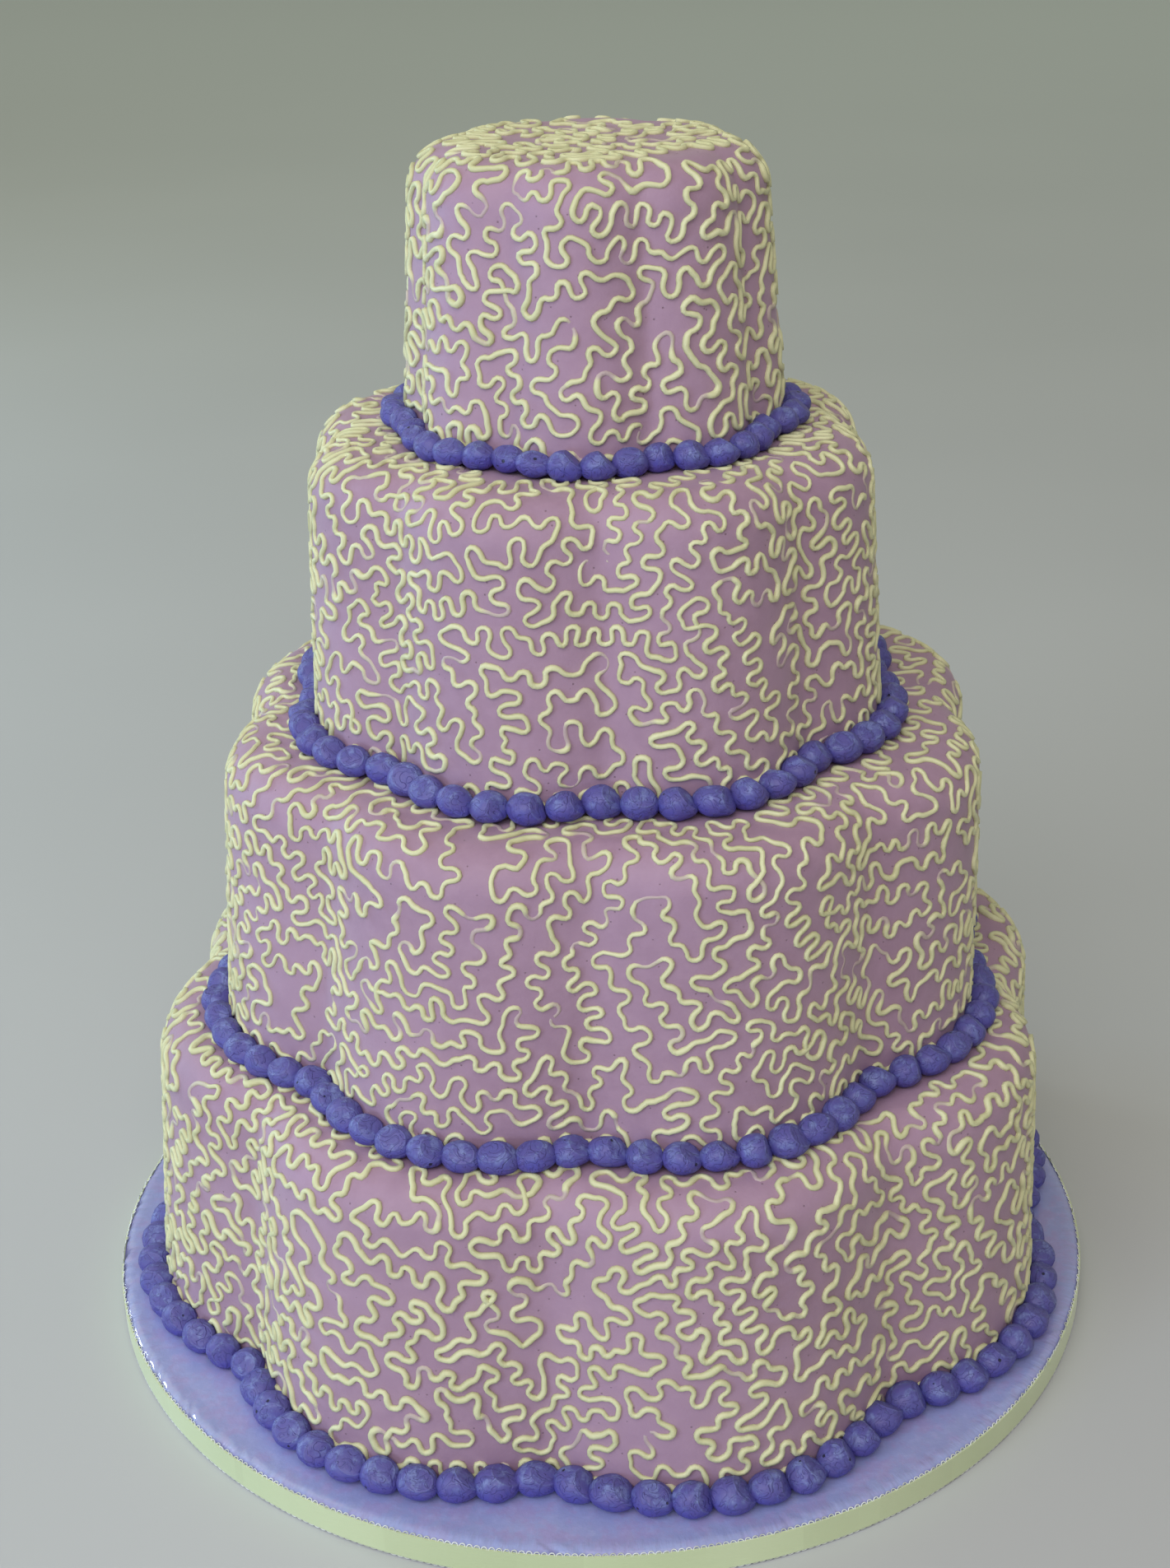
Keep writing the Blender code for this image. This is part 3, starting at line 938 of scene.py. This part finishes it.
# %% Geometry Nodes tree of the pearls
PEARL_PITCH = 0.0139  # the sizes below are for pearls set this far apart, and grow and shrink with the pitch
PEARL_OUT = 0.0053  # from the wall to a pearl's middle
PEARL_UP = 0.0058
PEARL_HALF_SIZES = (0.0077, 0.0066, 0.0061)  # along the string, away from the wall, up
PEARL_CUTS = (  # for each kind, the way that the cut side faces (along, to the wall, up) and how far out it is
    ((0.66, -0.25, 0.71), 0.70), ((0.85, -0.40, 0.34), 0.68), ((0.35, -0.50, 0.79), 0.74),
    ((0.78, -0.05, 0.62), 0.66), ((-0.25, -0.35, 0.90), 0.74),
)
CUT_DEPTH = 0.8  # share of what lies beyond the cut that is taken away
TIP = (0.90, -0.30, -0.31)
TIP_FROM, TIP_PULL = 0.72, 0.45
PEARL_TILT = (0.25, 0.12, 0.16)  # radians, at most, about each direction


def pearl_tree():
    inputs = {
        "Count": (WHOLE, 60), "Half Sizes": (ARROW, PEARL_HALF_SIZES), "Seed": (WHOLE, 0), "Segments": (WHOLE, 20),
        "Rings": (WHOLE, 12), "Size Spread": (NUMBER, 0.085), "Dent": (NUMBER, 0.0007), "Foot": (NUMBER, 0.0),
    }
    wire, given = new_shape_tree("piped pearls", inputs)
    points, tangent = points_along(given["Geometry"], given["Count"])
    sideways = wire.node("FunctionNodeAlignRotationToVector", {"axis": "X"}, {"Vector": tangent})

    kinds = wire.tree.nodes.new("GeometryNodeGeometryToInstance")
    own = wire.node("GeometryNodeInputPosition")
    tip = (wire.vectors("DOT_PRODUCT", own, TIP) - TIP_FROM).within(0.0, 1.0) * TIP_PULL
    for direction, distance in PEARL_CUTS:
        ball = wire.node("GeometryNodeMeshUVSphere", sockets={0: given["Segments"], 1: given["Rings"], 2: 1.0})
        beyond = wire.vectors("DOT_PRODUCT", own, direction) - distance
        ball = keep(keep(ball, "own_place", "FLOAT_VECTOR", own), "beyond_cut", "FLOAT", beyond)
        cut = wire.scaled(direction, beyond.within(0.0, 1.0) * -CUT_DEPTH)
        offset = wire.vectors("ADD", cut, wire.scaled(TIP, tip))
        feed(kinds.inputs[0], set_points(ball, Offset=offset))

    lean = wire.chance("FLOAT_VECTOR", [-most for most in PEARL_TILT], PEARL_TILT, given["Seed"])
    tilt = wire.node("FunctionNodeEulerToRotation", sockets={0: lean})
    rotation = wire.node("FunctionNodeRotateRotation", {"rotation_space": "LOCAL"}, {0: sideways, 1: tilt})
    spread = wire.chance("FLOAT_VECTOR", (-1.0, -1.0, -1.0), (1.0, 1.0, 1.0), given["Seed"] + 1)
    stretched = wire.vectors("MULTIPLY_ADD", spread, given["Size Spread"], (1.0, 1.0, 1.0))
    sockets = {
        "Points": points, "Instance": Wire(wire.tree, kinds.outputs[0]), "Pick Instance": True,
        "Instance Index": wire.chance("INT", 0, len(PEARL_CUTS) - 1, given["Seed"] + 3),
        "Rotation": rotation, "Scale": wire.vectors("MULTIPLY", stretched, given["Half Sizes"]),
    }
    string = wire.node("GeometryNodeInstanceOnPoints", sockets=sockets)
    string = keep(string, "chance", "FLOAT", wire.chance("FLOAT", 0.0, 1.0, given["Seed"] + 2), "INSTANCE")
    string = wire.node("GeometryNodeRealizeInstances", sockets={"Geometry": string})

    here = wire.node("GeometryNodeInputPosition")
    string = pushed_out(string, (noise(here, 130.0, detail=1.5) - 0.5) * 2 * given["Dent"])
    x, y, z = here.parts()
    resting = wire.vector(x, y, wire.maths("MAXIMUM", z, given["Foot"]))
    return finish_tree(set_points(string, Position=resting), PEARL_ICING)


PEARL_TREE = pearl_tree()


# %% Pipe the four strings
def pipe_pearls(cake):
    angles = full_turn(PATH_SIDES)
    path = on_tier(cake, angles, np.zeros_like(angles), PEARL_OUT)
    pitch = np.linalg.norm(path - np.roll(path, 1, axis=0), axis=1).sum() / cake.pearls
    size = pitch / PEARL_PITCH
    print(f"{cake.name}: a pearl every {1000 * pitch:.1f} mm")
    path = on_tier(cake, angles, np.zeros_like(angles), PEARL_OUT * size)
    path[:, 2] += PEARL_UP * size
    start = ring_mesh(f"foot_{cake.name}", path)
    half_sizes = [size * half for half in PEARL_HALF_SIZES]
    settings = {"Count": cake.pearls, "Seed": cake.pearls, "Foot": cake.foot, "Half Sizes": half_sizes}
    return plain_mesh(f"pearls_{cake.name}", PEARL_TREE, settings, start)


pearls = {cake: pipe_pearls(cake) for cake in TIERS}

# %% [markdown]
# The board
#
# The drum board is wrapped in a shiny lavender film that is pulled over its rounded edge. It is a turned shape: its
# profile is drawn once, from the middle of the top, down over the edge and in under the board, and set round in a
# circle. Film can't bend round a circle without creasing, so near the edge its points are pressed down by a random
# wave, and there the finish has finer creases, all running outwards, and more gloss.

# %% Finish of the board
BOARD_LOW, BOARD_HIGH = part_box("board")
BOARD_RADIUS = BOARD_HIGH.x
FILM_SLOPE = 0.005  # how far in from the rim the film starts to fall
FILM_DROP = 0.0013


def board_finish():
    material, shader, place = new_finish("board_film", Coat_Roughness=0.06)
    x, y, z = place.parts()
    radius = (x * x + y * y) ** 0.5
    rim = radius.step(BOARD_RADIUS - 0.009, BOARD_RADIUS - 0.002)
    # painted shade where the film turns down over the edge behind the ribbon
    painted_edge_shade = 1 - z.step(BOARD_HIGH.z - FILM_DROP, BOARD_HIGH.z - 0.5 * FILM_DROP)
    outwards = place.vector(x / radius * BOARD_RADIUS, y / radius * BOARD_RADIUS, radius * 0.2)
    creases = noise(outwards, 260.0, detail=3.0)
    clouds = noise(place, 22.0, detail=4.0)
    mottled = noise(place, 130.0, detail=5.0, roughness=0.65)
    fine = noise(place, 350.0, detail=4.0, roughness=0.6)
    colour = clouds.step(0.3, 0.7).blend((0.308, 0.338, 0.655), (0.358, 0.394, 0.740))
    colour = (mottled.step(0.42, 0.62) * 0.75).blend(colour, (0.382, 0.322, 0.632))
    colour = (fine.step(0.45, 0.75) * 0.3).blend(colour, (0.480, 0.490, 0.850))
    # lighter and bluer near the rim and along the creases: painted sheen on the creased film
    colour = (rim * (0.1 + 0.3 * creases)).blend(colour, (0.38, 0.46, 0.84))
    # painted shade over the edge
    colour = (painted_edge_shade * 0.6).blend(colour, (0.18, 0.18, 0.50))
    coat = (0.3 + 0.3 * clouds + 0.6 * rim).within(0.0, 1.0)
    normal = bump(clouds * 3.0 + fine + rim * creases * 5.0, 0.0003, 0.6)
    dress(shader, Base_Color=colour, Roughness=0.24 + 0.16 * fine, Coat_Weight=coat, Normal=normal)
    return material


# %% Shape of the board
BOARD_SIDES = 1024
EDGE_ROWS = 11  # of points where the film falls towards the rim
BEFORE_EDGE = 0.003  # from the last flat ring of points to the first of those rows
TOP_RING, UNDER_RING = 0.10, 0.12  # radii of a ring of points on each side, which keeps the faces short
FOOT_EDGE = 0.0005  # the slope between the wall and the underside
FILM_LOOSE = 0.008  # how far in from the rim the film is creased
FILM_DENT = 0.0004
LOOSE_EVERY, CREASE_EVERY = 40, 4  # points round the board for each new random height


def board_profile():
    """The board's outline, as (radius, height) from the axis over the top and back to the axis."""
    top, low = BOARD_HIGH.z, BOARD_LOW.z
    inner = BOARD_RADIUS - FILM_SLOPE
    profile = [(0.0, top), (TOP_RING, top), (inner - BEFORE_EDGE, top)]
    for share in np.linspace(0.0, 1.0, EDGE_ROWS):
        profile.append((inner + FILM_SLOPE * share, top - FILM_DROP * share**3))
    profile += [(BOARD_RADIUS, top - 1.4 * FILM_DROP), (BOARD_RADIUS, low + FOOT_EDGE)]
    return profile + [(BOARD_RADIUS - FOOT_EDGE, low), (UNDER_RING, low), (0.0, low)]


def film_dents(profile):
    """How far the film is pressed down, for each point of the profile and each place round the board."""
    source = np.random.default_rng(16)
    loose = np.clip(0.5 + smooth_random(source, BOARD_SIDES, LOOSE_EVERY), 0.0, 1.5)
    creases = np.abs(smooth_random(source, BOARD_SIDES, CREASE_EVERY)) * loose
    rows = []
    for row, (radius, height) in enumerate(profile[1:-1]):
        near = max(0.0, 1 - (BOARD_RADIUS - radius) / FILM_LOOSE)
        if height <= BOARD_HIGH.z - 1.3 * FILM_DROP:
            near = 0.0
        rows.append(FILM_DENT * near * np.roll(creases, row // 2))
    return np.array(rows)


def turned(name, profile, dents, material):
    """A closed turned piece. Each point of its profile is pressed down by its dents."""
    rows, sides = dents.shape
    angles = full_turn(sides)
    radius = np.repeat(np.array(profile)[1:-1, :1], sides, axis=1)
    height = np.array(profile)[1:-1, 1:] - dents
    points = np.stack([radius * np.cos(angles), radius * np.sin(angles), height], axis=-1).reshape(-1, 3)
    points = np.vstack([points, (0.0, 0.0, profile[0][1]), (0.0, 0.0, profile[-1][1])])
    first, last, end = rows * sides, rows * sides + 1, (rows - 1) * sides
    faces = []
    for k in range(sides):
        after = (k + 1) % sides
        faces.append((first, k, after))
        for here in range(0, end, sides):
            faces.append((here + k, here + sides + k, here + sides + after, here + after))
        faces.append((end + k, last, end + after))
    piece = new_piece(name, points.tolist(), faces, material)
    piece.data.shade_smooth()
    return piece


board = turned("board_cover", board_profile(), film_dents(board_profile()), board_finish())
print("board radius", round(BOARD_RADIUS, 4))

# %% [markdown]
# The ribbon
#
# Pale yellow satin runs round the board's edge, and both its edges have a row of tiny thread loops. The band is thin
# and follows a circle, so it is turned like the board. The loops repeat hundreds of times, so Geometry Nodes set
# them out on the circles of the two edges, each loop a thread bent into an arch, with few sides because it is tiny.
# The lower loops hang straight down. The upper ones lean in over the film, each by a random share.

# %% Finish of the ribbon
RIBBON_LOW, RIBBON_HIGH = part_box("ribbon")
RIBBON_RADIUS = RIBBON_HIGH.x
RIBBON_THICKNESS = 0.0004


def ribbon_finish():
    material, shader, place = new_finish("ribbon_satin", Sheen_Weight=0.3, Sheen_Roughness=0.35)
    x, y, z = place.parts()
    flat = place.vector(x, y, 0.0)
    slow = noise(flat, 12.0)
    painted_satin_panel = cells(flat, 24.0, out=1).parts()[0]
    weave = noise(place.vector(place.maths("ARCTAN2", y, x) * RIBBON_RADIUS * 0.1, z, 0.0), 2400.0)
    colour = slow.step(0.3, 0.7).blend((0.600, 0.690, 0.420), (0.690, 0.770, 0.505))
    # darker panels round the band: painted changes in the satin's reflection from crease to crease
    colour = (painted_satin_panel * 0.35).blend(colour, (0.52, 0.58, 0.36))
    dress(shader, Base_Color=colour, Roughness=0.30 + 0.14 * weave, Normal=bump(weave, 0.0002, 0.5))
    return material


RIBBON_SATIN = ribbon_finish()


def loop_finish():
    material, shader, place = new_finish("loop_thread", Roughness=0.35, Specular_IOR_Level=0.6)
    tone = noise(place, 90.0).step(0.35, 0.65)
    # the loops' pale, nearly white tone is partly the thread's own and partly painted highlight
    dress(shader, Base_Color=tone.blend((0.60, 0.62, 0.58), (0.88, 0.91, 0.92)))
    return material


LOOP_SATIN = loop_finish()


# %% Band and loops of the ribbon
def band(name, inside, outside, low, high, sides, material):
    """A closed flat ring with four sides in its section."""
    corners = ((outside, low), (outside, high), (inside, high), (inside, low))
    points, faces = [], []
    for k in range(sides):
        angle = 2 * math.pi * k / sides
        points += [(radius * math.cos(angle), radius * math.sin(angle), z) for radius, z in corners]
        here, after = 4 * k, 4 * ((k + 1) % sides)
        faces += [(here + c, after + c, after + (c + 1) % 4, here + (c + 1) % 4) for c in range(4)]
    return new_piece(name, points, faces, material)


LOOP_PITCH = 0.0027
LOOP_HEIGHT = 0.0012
LOOP_THREAD = 0.00022  # half of its width
UPPER_LEAN = 2.0  # how far in an upper loop leans at most, for each unit that it rises
HEM = 0.0005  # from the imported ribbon's edge to the satin's


def loops_tree():
    inputs = {
        "Count": (WHOLE, 600), "Half Width": (NUMBER, LOOP_PITCH * 0.42), "Reach": (NUMBER, LOOP_HEIGHT),
        "Thread": (NUMBER, LOOP_THREAD), "Bends": (WHOLE, 7), "Sides": (WHOLE, 4), "Lean In": (NUMBER, 0.0),
    }
    wire, given = new_shape_tree("ribbon loops", inputs)
    sockets = {0: given["Bends"], "Radius": 1.0, "Sweep Angle": math.pi}
    arch = wire.node("GeometryNodeCurveArc", sockets=sockets)
    size = wire.vector(given["Half Width"], given["Reach"], 1.0)
    arch = wire.node("GeometryNodeTransform", sockets={"Geometry": arch, "Scale": size})
    sockets = {"Resolution": given["Sides"], "Radius": given["Thread"]}
    ring = wire.node("GeometryNodeCurvePrimitiveCircle", sockets=sockets)
    sockets = {"Curve": arch, "Profile Curve": ring, "Fill Caps": True}
    loop = wire.node("GeometryNodeCurveToMesh", sockets=sockets)

    points, tangent = points_along(given["Geometry"], given["Count"])
    x, y, _ = wire.node("GeometryNodeInputPosition").parts()
    inward = wire.chance("FLOAT", 0.0, 1.0, 5) * given["Lean In"] / -RIBBON_RADIUS
    rise = wire.vector(x * inward, y * inward, 1.0)
    axes = {"primary_axis": "Y", "secondary_axis": "X"}
    turn = wire.node("FunctionNodeAxesToRotation", axes, {0: rise, 1: tangent})
    sockets = {"Points": points, "Instance": loop, "Rotation": turn}
    return finish_tree(wire.node("GeometryNodeInstanceOnPoints", sockets=sockets), LOOP_SATIN)


LOOPS_TREE = loops_tree()


def ribbon_loops(name, height, reach, lean):
    angles = full_turn(PATH_SIDES)
    middle = RIBBON_RADIUS - RIBBON_THICKNESS / 2
    path = np.stack([middle * np.cos(angles), middle * np.sin(angles), np.full_like(angles, height)], axis=1)
    count = round(2 * math.pi * middle / LOOP_PITCH)
    settings = {"Count": count, "Reach": reach, "Lean In": lean}
    return plain_mesh(name, LOOPS_TREE, settings, ring_mesh(name, path))


hem_low, hem_high = RIBBON_LOW.z + HEM, RIBBON_HIGH.z - HEM
ribbon = band("ribbon_band", BOARD_RADIUS, RIBBON_RADIUS, hem_low, hem_high, BOARD_SIDES // 2, RIBBON_SATIN)
upper_loops = ribbon_loops("ribbon_loops_upper", hem_high - LOOP_THREAD, LOOP_HEIGHT, UPPER_LEAN)
lower_loops = ribbon_loops("ribbon_loops_lower", hem_low + LOOP_THREAD, -0.8 * hem_low, 0.0)

# %% [markdown]
# Floor and light
#
# The picture has soft light from the front and the left, and a cooler light that skims the left side. A large pale
# floor fills the view, because the camera looks down. Wide lamps stand for the windows of a room: one on the left,
# one in front, a weak one above for the ledges and a yellowish one behind for the tops. Two low bluish ones on the
# left tint that side, and are narrower, to stand clear of the floor. One small lamp is there only for the thin
# bright line that it draws along the film's edge, and an even warm sky fills the rest.

# %% Floor
FLOOR_HALF = 12.0  # metres, enough to fill the view


def add_floor():
    material, shader, place = new_finish("pale_floor", Roughness=0.9)
    near = noise(place, 1.6).blend((0.480, 0.490, 0.515), (0.580, 0.590, 0.615))
    far = place.parts()[1].step(0.5, 4.5)
    dress(shader, Base_Color=far.blend(near, (0.74, 0.82, 0.81)))
    corners = [(FLOOR_HALF * x, FLOOR_HALF * y, 0.0) for x, y in ((-1, -1), (1, -1), (1, 1), (-1, 1))]
    return new_piece("floor", corners, [(0, 1, 2, 3)], material)


floor = add_floor()


# %% Light
WIDE, LOW, SMALL = 1.6, 0.7, 0.35  # metres across a lamp
CAKE_MIDDLE = Vector((0.0, 0.0, 0.2))


def add_lamp(name, place, watts, colour, width=WIDE):
    data = bpy.data.lights.new(name, "AREA")
    data.shape = "DISK"
    data.size = width
    data.energy = watts
    data.color = colour
    lamp = bpy.data.objects.new(name, data)
    scene.collection.objects.link(lamp)
    lamp.location = place
    lamp.visible_camera = False
    lamp.rotation_euler = (CAKE_MIDDLE - lamp.location).to_track_quat("-Z", "Y").to_euler()


def add_sky(colour, strength):
    world = bpy.data.worlds.new("sky")
    scene.world = world
    world.use_nodes = True
    sky = world.node_tree.nodes["Background"]
    sky.inputs["Color"].default_value = (*colour, 1.0)
    sky.inputs["Strength"].default_value = strength


add_lamp("window", (-1.5, -1.7, 2.1), 19.0, (0.93, 1.0, 0.99))
add_lamp("front", (-0.1, -2.1, 2.1), 23.0, (1.0, 0.95, 0.94))
add_lamp("above", (0.0, -0.9, 2.6), 6.0, (1.0, 0.97, 0.92))
add_lamp("back", (-1.4, 1.4, 2.2), 4.0, (0.95, 1.0, 0.30))
add_lamp("low_left", (-1.6, -1.4, 0.45), 9.5, (0.54, 0.76, 1.0), LOW)
add_lamp("far_left", (-1.9, 0.7, 0.45), 9.5, (0.44, 0.72, 1.0), LOW)
add_lamp("glint", (-1.8, 1.1, 1.04), 6.0, (0.80, 0.92, 1.0), SMALL)
add_sky((1.0, 1.0, 0.84), 0.32)

# %% [markdown]
# Handing the pieces over
#
# Every piece rides on the one body of the part, and the imported solid that it stands for is hidden. The paste and
# its lace together replace a tier.

# %% Hand over
def hand_over(obj, slot, *nodes):
    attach(obj, "root")
    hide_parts(*nodes)


for cake in TIERS:
    hand_over(paste[cake], "fondant", f"tier_{cake.name}")
    hand_over(lace[cake], "lace_icing", f"tier_{cake.name}")
    hand_over(pearls[cake], "pearl_icing", f"border_{cake.name}")
hand_over(board, "board_cover", "board")
hand_over(ribbon, "ribbon_satin", "ribbon")
hand_over(upper_loops, "ribbon_satin", "ribbon")
hand_over(lower_loops, "ribbon_satin", "ribbon")
